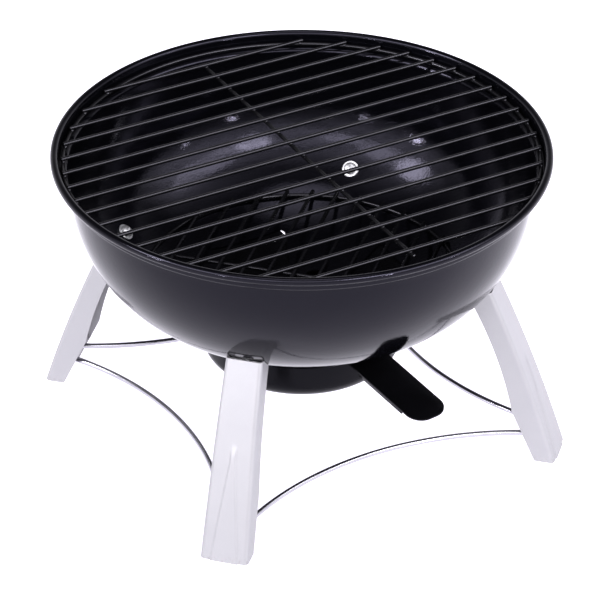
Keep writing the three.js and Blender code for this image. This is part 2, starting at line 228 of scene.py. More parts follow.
LIGHT_COLOR = (0.955, 0.94, 1.0)
HORIZON_TONES = ((0.15, 1.0), (0.32, 0.65), (0.48, 0.25), (0.62, 0.08), (0.95, 0.04))
BAND_TONES = (
    (0.26, 0.0), (0.46, 0.85), (0.56, 1.0), (0.66, 0.9), (0.78, 0.3), (0.88, 0.12), (0.95, 0.02),
)
BAND_AZIMUTH = -112
BAND_EDGE = 0.25
BAND_STRENGTH = 3.6
LIGHT_DISTANCE = 3.6
LIGHT_CENTRE = 0.15
PANELS = (
    (-90, 37, 18, 12, 14.0),
    (-55, 42, 46, 13, 4.5),
    (-140, 34, 22, 8, 4.0),
    (-172, 37, 34, 14, 4.0),
    (166, 37, 17, 17, 12.0),
    (-152, 4, 44, 8, 0.9),
    (-83, 13, 2.6, 2.6, 220.0),
    (-53, 20, 2.2, 2.2, 60.0),
    (-152, 14, 2.4, 2.4, 110.0),
    (177, 17, 2.6, 2.6, 220.0),
)

# ---------------------------------------------------------------- points and shells


def spin(azimuth):
    return Matrix.Rotation(math.radians(azimuth), 4, "Z")


def arc(centre, radius, start, stop, steps):
    """Points (x, y) along an arc, angles in degrees."""
    points = []
    for i in range(steps + 1):
        angle = math.radians(start + (stop - start) * i / steps)
        points.append((centre[0] + radius * math.cos(angle), centre[1] + radius * math.sin(angle)))
    return points


def smooth(value):
    value = min(1.0, max(0.0, value))
    return value * value * (3 - 2 * value)


def rounded(outline, radius, steps=6):
    """A closed outline with every corner rounded."""
    points = []
    for i, corner in enumerate(outline):
        here = Vector(corner)
        before = (Vector(outline[i - 1]) - here).normalized()
        after = (Vector(outline[(i + 1) % len(outline)]) - here).normalized()
        half = before.angle(after) / 2
        start = here + before * radius / math.tan(half)
        stop = here + after * radius / math.tan(half)
        centre = here + (before + after).normalized() * radius / math.sin(half)
        for k in range(steps + 1):
            spoke = (start - centre).lerp(stop - centre, k / steps).normalized()
            points.append(tuple(centre + spoke * radius))
    return points


def merged(*shells):
    points = []
    faces = []
    for more_points, more_faces in shells:
        shift = len(points)
        points.extend(more_points)
        faces.extend([i + shift for i in face] for face in more_faces)
    return points, faces


def moved(shell, matrix):
    return [matrix @ Vector(p) for p in shell[0]], shell[1]


def shifted(shell, x=0.0, y=0.0, z=0.0):
    return moved(shell, Matrix.Translation((x, y, z)))


def turned(profile, segments):
    """A closed (radius, height) profile turned round the z axis."""
    points = []
    rings = []
    for r, z in profile:
        if r < 1e-6:
            rings.append([len(points)] * segments)
            points.append((0.0, 0.0, z))
            continue
        rings.append(list(range(len(points), len(points) + segments)))
        for i in range(segments):
            angle = 2 * math.pi * i / segments
            points.append((r * math.cos(angle), r * math.sin(angle), z))
    faces = []
    on_axis = profile[0][0] < 1e-6
    pairs = zip(rings, rings[1:] if on_axis else rings[1:] + rings[:1])
    for low, high in pairs:
        for i in range(segments):
            j = (i + 1) % segments
            face = [low[i], low[j], high[j], high[i]]
            face = [v for k, v in enumerate(face) if v != face[k - 1]]
            if len(face) > 2:
                faces.append(face)
    return points, faces


def tube_ring(inner, outer, low, high, segments, edge=0.2):
    """A flat ring, such as a washer, with softened outer edges."""
    return turned(
        [(inner, low), (outer - edge, low), (outer, low + edge), (outer, high - edge),
         (outer - edge, high), (inner, high)],
        segments,
    )


def rod(radius, low, high, segments=32):
    return turned([(0, low), (radius, low), (radius, high), (0, high)], segments)


def skinned(rows):
    """Skins equal-length closed rows of 3-D points and caps both ends."""
    count = len(rows[0])
    points = [p for row in rows for p in row]
    faces = []
    for r in range(len(rows) - 1):
        for i in range(count):
            j = (i + 1) % count
            faces.append([r * count + i, r * count + j, (r + 1) * count + j, (r + 1) * count + i])
    faces.append(list(range(count))[::-1])
    faces.append([(len(rows) - 1) * count + i for i in range(count)])
    return points, faces


def prism(outline, low, high):
    return skinned([[(x, y, low) for x, y in outline], [(x, y, high) for x, y in outline]])


def wire(path, radius, sides=14):
    """A round wire along a path, with slightly domed ends."""
    path = [Vector(p) for p in path]
    lift = Vector((0, 0, 1))
    rows = []
    for i, here in enumerate(path):
        ahead = path[min(i + 1, len(path) - 1)]
        behind = path[max(i - 1, 0)]
        along = (ahead - behind).normalized()
        side = along.cross(lift).normalized()
        up = side.cross(along)
        rows.append((here, along, side, up))
    rings = []

    def add_ring(centre, side, up, size):
        rings.append([
            centre + side * size * math.cos(2 * math.pi * k / sides)
            + up * size * math.sin(2 * math.pi * k / sides)
            for k in range(sides)
        ])

    start, end = rows[0], rows[-1]
    add_ring(start[0], start[2], start[3], radius * 0.7)
    add_ring(start[0] + start[1] * radius * 0.25, start[2], start[3], radius)
    for centre, _, side, up in rows[1:-1]:
        add_ring(centre, side, up, radius)
    add_ring(end[0] - end[1] * radius * 0.25, end[2], end[3], radius)
    add_ring(end[0], end[2], end[3], radius * 0.7)
    return skinned(rings)


def torus(radius, thickness, z, segments=180, sides=14):
    return turned(arc((radius, z), thickness / 2, 0, 360 - 360 / sides, sides - 1), segments)


def oval(across, height, centre, start, stop, step):
    """Points (radius, height) of an oval centred on the axis, angles in whole degrees."""
    points = []
    for angle in range(start, stop + 1, step):
        turn = math.radians(angle)
        r = 0.0 if abs(angle) == 90 else across * math.cos(turn)
        points.append((r, centre + height * math.sin(turn)))
    return points


def threads(start, stop, root, crest, pitch, flanks):
    """The profile of ring-shaped threads between two heights."""
    points = []
    z = start
    while z < stop:
        rise, fall, end = flanks
        points += [(root, z), (crest, z + rise), (crest, z + fall), (root, z + end)]
        z += pitch
    return points


def blob(centre, size, segments=10):
    """A small weld bead, an ellipsoid."""
    return shifted(turned(oval(*size, 0.0, -90, 90, 30), segments), *centre)


# ---------------------------------------------------------------- meshes and modifiers


def mesh_from(name, shell, scale=1.0):
    mesh = bpy.data.meshes.new(name)
    mesh.from_pydata([tuple(c * scale for c in p) for p in shell[0]], [], shell[1])
    mesh.validate()
    return mesh


def modified(shell, kind, settings):
    """The shell after a modifier of one kind, its settings given as {property: value}."""
    helper = bpy.data.objects.new("helper", mesh_from("helper", shell))
    bpy.context.scene.collection.objects.link(helper)
    modifier = helper.modifiers.new(kind.lower(), kind)
    for key, value in settings.items():
        setattr(modifier, key, value)
    evaluated = helper.evaluated_get(bpy.context.evaluated_depsgraph_get())
    mesh = bpy.data.meshes.new_from_object(evaluated)
    result = [tuple(v.co) for v in mesh.vertices], [list(p.vertices) for p in mesh.polygons]
    bpy.data.objects.remove(helper)
    bpy.data.meshes.remove(mesh)
    return result


def combined(shell, others, operation):
    """The shell joined with, cut by or kept inside the other shells."""
    tool = bpy.data.objects.new("tool", mesh_from("tool", merged(*others)))
    bpy.context.scene.collection.objects.link(tool)
    settings = {"operation": operation, "solver": "EXACT", "object": tool, "use_self": len(others) > 1}
    result = modified(shell, "BOOLEAN", settings)
    bpy.data.objects.remove(tool)
    return result


def softened(shell, width):
    """The shell with its sharp edges rounded."""
    sharp = {"limit_method": "ANGLE", "angle_limit": math.radians(40)}
    return modified(shell, "BEVEL", {"width": width, "segments": 2, **sharp})


def piece(name, shell, material, body, replaced, crease=38):
    """Makes a visible piece that rides on a body and stands for a CAD node."""
    mesh = mesh_from(name, shell, MM)
    mesh.materials.append(material)
    obj = bpy.data.objects.new(name, mesh)
    bpy.context.scene.collection.objects.link(obj)
    mesh.shade_smooth()
    mesh.set_sharp_from_angle(angle=math.radians(crease))
    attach(obj, body)
    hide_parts(replaced)


# ---------------------------------------------------------------- materials


class Nodes:
    """A short way to build one material's node tree."""

    def __init__(self, name, **principled):
        self.material = bpy.data.materials.new(name)
        self.material.use_nodes = True
        self.tree = self.material.node_tree
        self.shader = self.tree.nodes["Principled BSDF"]
        for key, value in principled.items():
            self.shader.inputs[key.replace("_", " ")].default_value = value
        self.place = self.add("ShaderNodeTexCoord").outputs["Object"]

    def add(self, kind, inputs=(), **settings):
        node = self.tree.nodes.new(kind)
        for key, value in settings.items():
            setattr(node, key, value)
        for key, value in dict(inputs).items():
            if isinstance(value, bpy.types.NodeSocket):
                self.tree.links.new(value, node.inputs[key])
            else:
                node.inputs[key].default_value = value
        return node

    def noise(self, scale, detail, roughness=0.55):
        inputs = {"Vector": self.place, "Scale": scale, "Detail": detail, "Roughness": roughness}
        return self.add("ShaderNodeTexNoise", inputs).outputs["Fac"]

    def scaled(self, value, low, high, from_low=0.0, from_high=1.0):
        inputs = {0: value, 1: from_low, 2: from_high, 3: low, 4: high}
        return self.add("ShaderNodeMapRange", inputs).outputs[0]

    def math(self, operation, a, b):
        return self.add("ShaderNodeMath", {0: a, 1: b}, operation=operation).outputs[0]

    def mix(self, factor, low, high):
        node = self.add("ShaderNodeMix", data_type="RGBA")
        for socket, value in ((node.inputs[0], factor), (node.inputs[6], low), (node.inputs[7], high)):
            if isinstance(value, bpy.types.NodeSocket):
                self.tree.links.new(value, socket)
            else:
                socket.default_value = value
        return node.outputs[2]

    def bump(self, height, distance, strength, normal=None):
        inputs = {"Height": height, "Distance": distance, "Strength": strength}
        if normal is not None:
            inputs["Normal"] = normal
        return self.add("ShaderNodeBump", inputs).outputs["Normal"]

    def feed(self, **sockets):
        for key, value in sockets.items():
            self.tree.links.new(value, self.shader.inputs[key.replace("_", " ")])
        return self.material


def enamel():
    """Glossy black porcelain enamel: a glassy coat, wavy where it ran, with orange peel."""
    n = Nodes("black_enamel", IOR=1.32, Specular_Tint=(0.80, 0.77, 1.0, 1))
    waves = n.noise(16, 1.0)
    ripples = n.noise(380, 3.0, 0.6)
    peel = n.noise(900, 2.0)
    pits = n.noise(1500, 1.0)
    pitted = n.scaled(pits, 0, 1, 0.64, 0.74)
    color = n.mix(pitted, (0.0012, 0.0012, 0.0018, 1), (0.006, 0.006, 0.008, 1))
    wavy = n.bump(waves, 0.002, 0.3)
    rippled = n.bump(ripples, 0.00014, 0.4, wavy)
    normal = n.bump(peel, 0.00008, 0.3, rippled)
    haze = n.scaled(n.noise(60, 3.0, 0.6), 0.04, 0.1, 0.35, 0.65)
    return n.feed(Base_Color=color, Roughness=haze, Normal=normal)


def grate_coating():
    """Semi-gloss black coating on wire, a little uneven."""
    n = Nodes("black_grate_coating", IOR=1.5, Specular_Tint=(0.92, 0.90, 1.0, 1))
    grain = n.noise(900, 3.0)
    patches = n.noise(60, 3.0)
    color = n.mix(patches, (0.001, 0.001, 0.0012, 1), (0.004, 0.004, 0.0045, 1))
    worn = n.scaled(patches, 0.16, 0.3)
    return n.feed(Base_Color=color, Roughness=worn, Normal=n.bump(grain, 0.0001, 0.4))


def black_paint():
    """Semi-gloss black paint on sheet steel."""
    n = Nodes("black_paint", IOR=1.2, Specular_Tint=(0.85, 0.83, 1.0, 1))
    grain = n.noise(1100, 2.0)
    patches = n.noise(30, 3.0)
    color = n.mix(patches, (0.0008, 0.0008, 0.001, 1), (0.003, 0.003, 0.0036, 1))
    haze = n.scaled(patches, 0.16, 0.28)
    return n.feed(Base_Color=color, Roughness=haze, Normal=n.bump(grain, 0.00004, 0.4))


def silver_paint():
    """Smooth silver paint with fine flakes and faint clouding, and painted shade in patches on the feet
    near the floor.
    """
    n = Nodes("silver_paint", Metallic=0.75, IOR=1.5)
    flakes = n.noise(6500, 1.0)
    clouds = n.noise(34, 4.0, 0.6)
    height = n.add("ShaderNodeSeparateXYZ", {0: n.place}).outputs[2]
    # Painted shade: within a few millimetres of the floor, the paint is mixed in noisy patches towards a
    # darker grey where the feet meet the floor.
    near_floor = n.scaled(height, 1.0, 0.0, 0.0005, 0.006)
    painted_foot_shade = n.math("MULTIPLY", near_floor, n.scaled(n.noise(700, 4.0), 0.0, 1.0, 0.52, 0.66))
    light = n.mix(clouds, (0.355, 0.352, 0.365, 1), (0.405, 0.402, 0.41, 1))
    sparkle = n.mix(n.scaled(flakes, 0, 0.5, 0.55, 0.75), light, (0.55, 0.55, 0.57, 1))
    color = n.mix(painted_foot_shade, sparkle, (0.30, 0.29, 0.29, 1))
    haze = n.scaled(clouds, 0.36, 0.48)
    return n.feed(Base_Color=color, Roughness=haze, Normal=n.bump(flakes, 0.00003, 0.35))


def chrome_wire():
    """Bright plating with faint drawing marks."""
    n = Nodes("chrome_wire", Metallic=1.0)
    marks = n.noise(1300, 2.0)
    patches = n.noise(90, 3.0)
    color = n.mix(patches, (0.44, 0.43, 0.48, 1), (0.56, 0.55, 0.59, 1))
    haze = n.scaled(patches, 0.14, 0.24)
    return n.feed(Base_Color=color, Roughness=haze, Normal=n.bump(marks, 0.00003, 0.25))


def zinc():
    """Bright zinc plating with a faint bloom."""
    n = Nodes("zinc_plating", Metallic=1.0)
    bloom = n.noise(260, 4.0, 0.6)
    grain = n.noise(2600, 2.0)
    color = n.mix(bloom, (0.84, 0.84, 0.86, 1), (0.95, 0.95, 0.95, 1))
    haze = n.scaled(bloom, 0.32, 0.5)
    return n.feed(Base_Color=color, Roughness=haze, Normal=n.bump(grain, 0.00003, 0.4))


ENAMEL = enamel()
GRATE_COATING = grate_coating()
BLACK_PAINT = black_paint()
SILVER_PAINT = silver_paint()
CHROME_WIRE = chrome_wire()
ZINC = zinc()

# ---------------------------------------------------------------- bowl


def body_radius(z):
    drop = (BOWL_LEVEL - z) / BOWL_DEPTH
    return BOWL_RADIUS * max(0.0, 1 - drop**BOWL_POWER) ** (1 / BOWL_POWER)


def body_height(r, inset=0.0):
    reach = r / (BOWL_RADIUS - inset)
    return BOWL_LEVEL - (BOWL_DEPTH - inset) * (1 - reach**BOWL_POWER) ** (1 / BOWL_POWER)


def body_curve(inset, steps=64):
    """The body's curve from the axis up to the shoulder, flat in the middle."""
    floor = BOWL_FLOOR + inset
    points = [(0.0, floor)]
    for i in range(1, steps):
        angle = math.radians(BOWL_SWEEP) * i / steps
        r = (BOWL_RADIUS - inset) * math.sin(angle) ** (2 / BOWL_POWER)
        if r > FLOOR_MIDDLE:
            points.append((r, max(floor, body_height(r, inset))))
    return points


def shoulder_curve(extra):
    """The step from the body out to the ledge, `extra` further in."""
    across = SHOULDER_RISE[0] + extra
    rise = SHOULDER_RISE[1] + extra
    points = []
    for angle in range(0, 91, 15):
        turn = math.radians(angle)
        points.append((SHOULDER[0] - across * math.cos(turn), SHOULDER[1] + rise * math.sin(turn)))
    return points


def bowl_profile():
    """Outside up, round the rolled rim, and back down the inside."""
    outside = body_curve(0) + shoulder_curve(0) + arc(RIM_CORNER, RIM_CORNER_RADIUS, -90, 0, 6)
    roll_inside = arc(BEAD, BEAD_RADIUS - SHEET, 180, BEAD_END, 26)
    roll_outside = arc(BEAD, BEAD_RADIUS, BEAD_END, 180, 30)
    inside = arc(RIM_CORNER, RIM_CORNER_RADIUS - SHEET, 0, -90, 5) + shoulder_curve(SHEET)[::-1]
    return outside + roll_inside + roll_outside + inside + body_curve(SHEET)[::-1]


def wall_matrix(azimuth):
    """Takes a shell built along +z, 0 on the bowl's outside, to a leg screw."""
    r = body_radius(SCREW_HEIGHT)
    drop = BOWL_LEVEL - SCREW_HEIGHT
    outward = r ** (BOWL_POWER - 1) / BOWL_RADIUS**BOWL_POWER
    downward = drop ** (BOWL_POWER - 1) / BOWL_DEPTH**BOWL_POWER
    tilt = Matrix.Rotation(-math.pi / 2 - math.atan2(downward, outward), 4, "X")
    return spin(azimuth - 90) @ Matrix.Translation((0, r, SCREW_HEIGHT)) @ tilt


def make_bowl():
    cuts = [rod(CENTRE_BORE / 2, *FLOOR_CUT)]
    vent = prism(rounded(VENT, VENT_CORNER), *FLOOR_CUT)
    for azimuth in BRACES.values():
        cuts.append(moved(vent, spin(azimuth)))
    ash_hole = shifted(rod(ASH_HOLE_RADIUS, *FLOOR_CUT, 40), ASH_HOLE_AT)
    screw_hole = rod(SCREW_HOLE / 2, *WALL_CUT, 24)
    for azimuth in LEGS.values():
        cuts.append(moved(ash_hole, spin(azimuth)))
        cuts.append(moved(screw_hole, wall_matrix(azimuth)))
    shell = combined(turned(bowl_profile(), 240), cuts, "DIFFERENCE")
    piece("bowl_enamelled", shell, ENAMEL, STAND, "bowl")


# ---------------------------------------------------------------- grates


def spread(half, steps=24):
    """Even distances from -half to half."""
    return [half * (2 * k / steps - 1) for k in range(steps + 1)]


def grate_shell(radius, height, bars, pitch, reach, cross_reach, cross_x, shift):
    """Ring and cross wire with the bars on top, and a weld bead at every joint."""
    bar_z = height + WIRE - WIRE_SINK
    shells = [torus(radius, WIRE, height)]
    for i in range(bars):
        y = shift + (i - (bars - 1) / 2) * pitch
        half = math.sqrt(reach**2 - y**2)
        shells.append(wire([(x, y, bar_z) for x in spread(half)], WIRE / 2))
        on_ring = math.sqrt(radius**2 - y**2)
        for x in (-on_ring, on_ring):
            for side in (-RING_WELD_SIDE, RING_WELD_SIDE):
                shells.append(blob((x, y + side, height + RING_WELD_RISE), RING_WELD))
        shells.append(blob((cross_x, y, height + CROSS_WELD_RISE), CROSS_WELD))
    shells.append(wire([(cross_x, y, height) for y in spread(cross_reach)], WIRE / 2))
    return merged(*shells)


def make_grates():
    charcoal = moved(grate_shell(**CHARCOAL_GRATE), spin(CHARCOAL_TURN))
    for name, shell in (("cooking_grate", grate_shell(**COOKING_GRATE)), ("charcoal_grate", charcoal)):
        piece(f"{name}_wire", shell, GRATE_COATING, name, name)


# ---------------------------------------------------------------- legs and braces


def web_radius(z):
    return FOOT_RADIUS - LEG_SLOPE * z - LEG_CURVE * z * z


def half_width(z):
    return (LEG_WIDTH - LEG_TAPER * z / LEG_TOP) / 2


def flange_radius(z):
    """Where the side flanges end: straight to the knee, then bulging, and clear of the bowl."""
    if z <= LEG_KNEE[1]:
        foot = FOOT_RADIUS - FOOT_DEPTH
        return foot + (LEG_KNEE[0] - foot) * z / LEG_KNEE[1]
    t = (z - LEG_KNEE[1]) / (LEG_TIP[1] - LEG_KNEE[1])
    edge = LEG_KNEE[0] + (LEG_TIP[0] - LEG_KNEE[0]) * t + 4 * LEG_BULGE * t * (1 - t)
    clear = math.sqrt(max(0.0, (body_radius(z) + WALL_GAP) ** 2 - half_width(z) ** 2))
    return max(edge, clear)


def rib_rise(x, z):
    """Height of the pressed rib: a narrow neck that opens into a long triangle."""
    half = RIB_HALF + max(0.0, RIB_NECK - z) * RIB_SPREAD
    across = smooth((half + RIB_SLOPE / 2 - abs(x)) / RIB_SLOPE)
    along = smooth((RIB_TOP - z) / RIB_FADE_TOP) * smooth((z - RIB_BASE) / RIB_FADE_BASE)
    return RIB_RISE * across * along


def leg_row(z, columns=56):
    """The channel's section at one height: round its outside, then back along its inside."""
    half = half_width(z)
    outer = web_radius(z)
    edge = flange_radius(z)
    bend_y = outer - LEG_BEND
    flat = half - LEG_BEND
    web = [flat * (1 - 2 * k / columns) for k in range(1, columns)]
    outside = [(half, edge)] + arc((flat, bend_y), LEG_BEND, 0, 90, 6)
    outside += [(x, outer + rib_rise(x, z)) for x in web]
    outside += arc((-flat, bend_y), LEG_BEND, 90, 180, 6) + [(-half, edge)]
    inner_bend = LEG_BEND - SHEET
    inside = [(SHEET - half, edge)] + arc((-flat, bend_y), inner_bend, 180, 90, 6)
    inside += [(x, outer - SHEET + rib_rise(x, z)) for x in reversed(web)]
    inside += arc((flat, bend_y), inner_bend, 90, 0, 6) + [(half - SHEET, edge)]
    return [(x, y, z) for x, y in outside + inside]


def make_legs():
    heights = sorted({LEG_TOP * k / 84 for k in range(85)} | {LEG_KNEE[1]})
    channel = skinned([leg_row(z) for z in heights])
    half = half_width(SCREW_HEIGHT) - SHEET + TAB_OVERLAP
    low, high = TAB_SPAN
    outline = rounded([(half, high), (-half, high), (-half, low), (half, low)], TAB_CORNER)
    tab = prism(outline, WALL_GAP, WALL_GAP + SHEET)
    tab = combined(tab, [rod(SCREW_HOLE / 2, *WALL_CUT, 24)], "DIFFERENCE")
    for side, azimuth in LEGS.items():
        shell = merged(moved(channel, spin(azimuth - 90)), moved(tab, wall_matrix(azimuth)))
        piece(f"leg_{side}_pressed", shell, SILVER_PAINT, STAND, f"leg_{side}")


def make_braces():
    centre = (BRACE_NEAREST + BRACE_BOW, 0.0)
    bow = arc(centre, BRACE_BOW, 180 - BRACE_SWEEP, 180 + BRACE_SWEEP, 48)
    shell = wire([(x, y, BRACE_HEIGHT) for x, y in bow], BRACE_WIRE / 2, 20)
    for side, azimuth in BRACES.items():
        bent = moved(shell, spin(azimuth))
        piece(f"brace_{side}_wire", bent, CHROME_WIRE, STAND, f"brace_{side}")


# ---------------------------------------------------------------- leg fasteners


def cross_recess(low):
    """Cutters for a cross-shaped driver recess, tapering inwards."""
    rows = []
    for length, width, depth in (RECESS_WIDE, RECESS_DEEP):
        corners = ((-length, -width), (length, -width), (length, width), (-length, width))
        rows.append([(x, y, low + depth) for x, y in corners])
    return [moved(skinned(rows), spin(angle)) for angle in (0, 90)]


def screw_shell():
    """Domed head inside the bowl, shank out through the wall."""
    seat = -SHEET - SCREW_SEAT
    low = seat - SCREW_HEAD_HEIGHT
    profile = oval(SCREW_HEAD, SCREW_DOME, low + SCREW_DOME, -90, 0, 10)
    profile += [(SCREW_HEAD, seat - 0.3), (SCREW_HEAD - 0.2, seat), (SCREW_SHANK, seat)]
    profile += threads(*SCREW_THREAD_SPAN, **SCREW_THREAD)
    profile += [(SCREW_TIP, SCREW_END), (0.0, SCREW_END)]
    return combined(turned(profile, 48), cross_recess(low), "DIFFERENCE")


def nut_shell():
    """A hexagon nut with its corners rounded off above and below."""
    corner = NUT_ACROSS / math.sqrt(3)
    face = NUT_FACE * NUT_ACROSS / 2
    low, high = NUT_CHAMFER, NUT_HEIGHT - NUT_CHAMFER
    dome = [(0, 0), (face, 0), (corner, low), (corner, high), (face, NUT_HEIGHT), (0, NUT_HEIGHT)]
    hexagon = arc((0, 0), corner, 0, 300, 5)
    body = combined(prism(hexagon, 0, NUT_HEIGHT), [turned(dome, 48)], "INTERSECT")
    return combined(body, [rod(NUT_BORE / 2, -1, NUT_HEIGHT + 1)], "DIFFERENCE")


def make_leg_fasteners():
    inside = -SHEET - GAP
    shells = {
        "screw": screw_shell(),
        "washer": tube_ring(SCREW_HOLE / 2, WASHER_RADIUS, inside - WASHER_SHEET, inside, 48),
        "nut": shifted(nut_shell(), z=WALL_GAP + SHEET + GAP),
    }
    for side, azimuth in LEGS.items():
        place = wall_matrix(azimuth)
        for kind, shell in shells.items():
            node = f"leg_{kind}_{side}"
            piece(f"{node}_plated", moved(shell, place), ZINC, STAND, node, crease=30)


# ---------------------------------------------------------------- damper and lever


def damper_outline():
    """Four blades, each with its corners on one radius and its tip on a larger one."""
    side = BLADE_HALF_ANGLE
    inner = side - BLADE_CORNER_ANGLE
    tip = BLADE_TIP_HALF_ANGLE
    outline = []
    for quarter in range(0, 360, 90):
        outline += arc((0, 0), BLADE_CORNER, quarter - side, quarter - inner, 1)
        outline += arc((0, 0), BLADE_TIP, quarter - tip, quarter + tip, 24)
        outline += arc((0, 0), BLADE_CORNER, quarter + inner, quarter + side, 1)
        outline += arc((0, 0), DAMPER_HUB, quarter + side, quarter + 90 - side, 8)
    return outline


def damper_holes():
    """Cutters for the centre bolt and the rivets."""
    cutters = [rod(CENTRE_BORE / 2, *FLOOR_CUT)]
    for r in RIVETS_AT:
        cutters.append(moved(shifted(rod(RIVET_HOLE / 2, *FLOOR_CUT, 24), r), spin(LEVER_AZIMUTH)))
    return cutters


def dish(drop):
    """The bowl's outside curve, `drop` further down, from the axis out past the blades."""
    low = BOWL_FLOOR - drop
    radii = [DAMPER_FLAT + 4 * k for k in range(1, 16)]
    return [(0.0, low), (DAMPER_FLAT, low)] + [(r, max(low, body_height(r) - drop)) for r in radii]


def damper_shell():
    plate = turned(dish(WALL_GAP + DAMPER_SHEET) + dish(WALL_GAP)[::-1], 180)
    plate = combined(plate, [prism(damper_outline(), *FLOOR_CUT)], "INTERSECT")
    return combined(moved(plate, spin(DAMPER_TURN)), damper_holes(), "DIFFERENCE")


def lever_height(x):
    """Height of the lever's top: level, then sloping down after an eased bend."""
    past = x - LEVER_BEND
    eased = past if past > LEVER_EASE else max(0.0, past + LEVER_EASE) ** 2 / (4 * LEVER_EASE)
    return LEVER_TOP - eased * math.tan(math.radians(LEVER_SLOPE))


def lever_side(start, stop, down, thickness):
    """Side view of the lever between two radii, `down` below its top."""
    bends = [LEVER_BEND + shift for shift in (-LEVER_EASE, 0, LEVER_EASE)]
    stops = [start] + [x for x in bends if x > start] + [stop]
    over = [(x, lever_height(x) - down) for x in stops]
    under = [(x, z - thickness) for x, z in reversed(over)]
    return (over + under)[::-1]


def strip(outline, from_y, to_y):
    """A side view in x-z, filled between two y positions."""
    return skinned([[(x, y, z) for x, z in outline] for y in (to_y, from_y)])


def lever_shell():
    """A round-ended tongue with a hem folded down along each long side."""
    tip = LEVER_TIP - LEVER_CORNER
    side = LEVER_HALF - LEVER_CORNER
    outline = arc((tip, side), LEVER_CORNER, 0, 90, 14)
    outline += arc((0, 0), LEVER_TAIL, 120, 240, 20)
    outline += arc((tip, -side), LEVER_CORNER, -90, 0, 14)
    spare = 2.0
    side_view = lever_side(-LEVER_TAIL - spare, LEVER_TIP + spare, 0, SHEET)
    plate = strip(side_view, -LEVER_HALF, LEVER_HALF)
    plate = combined(plate, [prism(outline, *LEVER_CUT)], "INTERSECT")
    hem = lever_side(*HEM_SPAN, HEM_DROP, HEM_DEPTH)
    near = LEVER_HALF - SHEET
    far = LEVER_HALF - HEM_INSET
    hemmed = combined(plate, [strip(hem, near, far), strip(hem, -far, -near)], "UNION")
    lever = combined(moved(hemmed, spin(LEVER_AZIMUTH)), damper_holes(), "DIFFERENCE")
    return softened(lever, LEVER_EDGE)


def rivet_shell(r):
    high = BOWL_FLOOR - WALL_GAP
    neck = LEVER_TOP - SHEET - GAP
    shank = RIVET_SHANK / 2
    profile = oval(*RIVET_HEAD, neck, -90, 0, 15) + [(shank, neck), (shank, high), (0.0, high)]
    return moved(shifted(turned(profile, 32), r), spin(LEVER_AZIMUTH))


def make_damper():
    for node, shell in (("damper_plate", damper_shell()), ("damper_lever", lever_shell())):
        piece(f"{node}_painted", shell, BLACK_PAINT, "damper", node)
    for number, r in enumerate(RIVETS_AT, 1):
        node = f"lever_rivet_{number}"
        piece(f"{node}_plated", rivet_shell(r), ZINC, "damper", node)


# ---------------------------------------------------------------- ash pan and its fixing


def pan_shell():
    """Outside from the bore up to the rolled lip, and back down the inside."""
    centre = (PAN_RADIUS - PAN_CORNER, PAN_BOTTOM + PAN_CORNER)
    bore = CENTRE_BORE / 2
    inside = PAN_BOTTOM + PAN_SHEET
    lip_end, wall_top = PAN_LIP_DEPTH
    profile = [(bore, PAN_BOTTOM), (PAN_FLAT, PAN_BOTTOM)]
    profile += arc(centre, PAN_CORNER, -90, 0, 16)
    profile += arc((PAN_RADIUS - PAN_LIP, PAN_RIM - PAN_LIP), PAN_LIP, 0, 180, 10)
    profile += [(PAN_RADIUS - 2 * PAN_LIP, PAN_RIM - lip_end), (PAN_RADIUS - PAN_SHEET, PAN_RIM - wall_top)]
    profile += arc(centre, PAN_CORNER - PAN_SHEET, 0, -90, 16)
    profile += [(PAN_FLAT, inside), (bore, inside)]
    return turned(profile, 200)


def bolt_shell():
    """Threaded end at the bottom, domed head on the washer inside the bowl."""
    seat = BOWL_FLOOR + SHEET + 2 * GAP + PLAIN_WASHER_SHEET
    head, brim = BOLT_HEAD
    profile = [(0.0, BOLT_END), (BOLT_TIP, BOLT_END)]
    profile += threads(*BOLT_THREAD_SPAN, **BOLT_THREAD)
    profile += [(BOLT_SHANK, BOLT_PLAIN), (BOLT_SHANK, seat), (head, seat)]
    profile += oval(*BOLT_DOME, seat + brim, 0, 90, 10)
    return turned(profile, 48)


def wing_nut_shell():
    """Hub and two wings, given from the nut's top face, which is under the pan's washer."""
    nut = turned(WING_HUB, 40)
    wing = strip(rounded(WING, WING_CORNER, 4), -WING_HALF, WING_HALF)
    for angle in (0, 180):
        nut = combined(nut, [moved(wing, spin(angle))], "UNION")
    nut = combined(nut, [rod(WING_BORE / 2, *WING_CUT)], "DIFFERENCE")
    return softened(shifted(nut, z=PAN_BOTTOM - 2 * GAP - PLAIN_WASHER_SHEET), WING_EDGE)


def make_pan():
    bore = CENTRE_BORE / 2
    low, high = SPACER_SPAN
    spacer = [(bore, low), (SPACER_RADIUS, low), (SPACER_RADIUS, high), (bore, high)]
    above_floor = BOWL_FLOOR + SHEET + GAP
    under_pan = PAN_BOTTOM - GAP - PLAIN_WASHER_SHEET
    piece("ash_pan_painted", pan_shell(), BLACK_PAINT, STAND, "ash_pan")
    piece("pan_spacer_plated", turned(spacer, 40), ZINC, STAND, "pan_spacer")
    piece("centre_bolt_plated", bolt_shell(), ZINC, STAND, "centre_bolt")
    for name, bottom in (("centre_washer", above_floor), ("pan_washer", under_pan)):
        washer = tube_ring(bore, PLAIN_WASHER_RADIUS, bottom, bottom + PLAIN_WASHER_SHEET, 60)
        piece(f"{name}_plated", washer, ZINC, STAND, name)
    piece("pan_wing_nut_plated", wing_nut_shell(), ZINC, STAND, "pan_wing_nut")


# ---------------------------------------------------------------- camera, floor and light


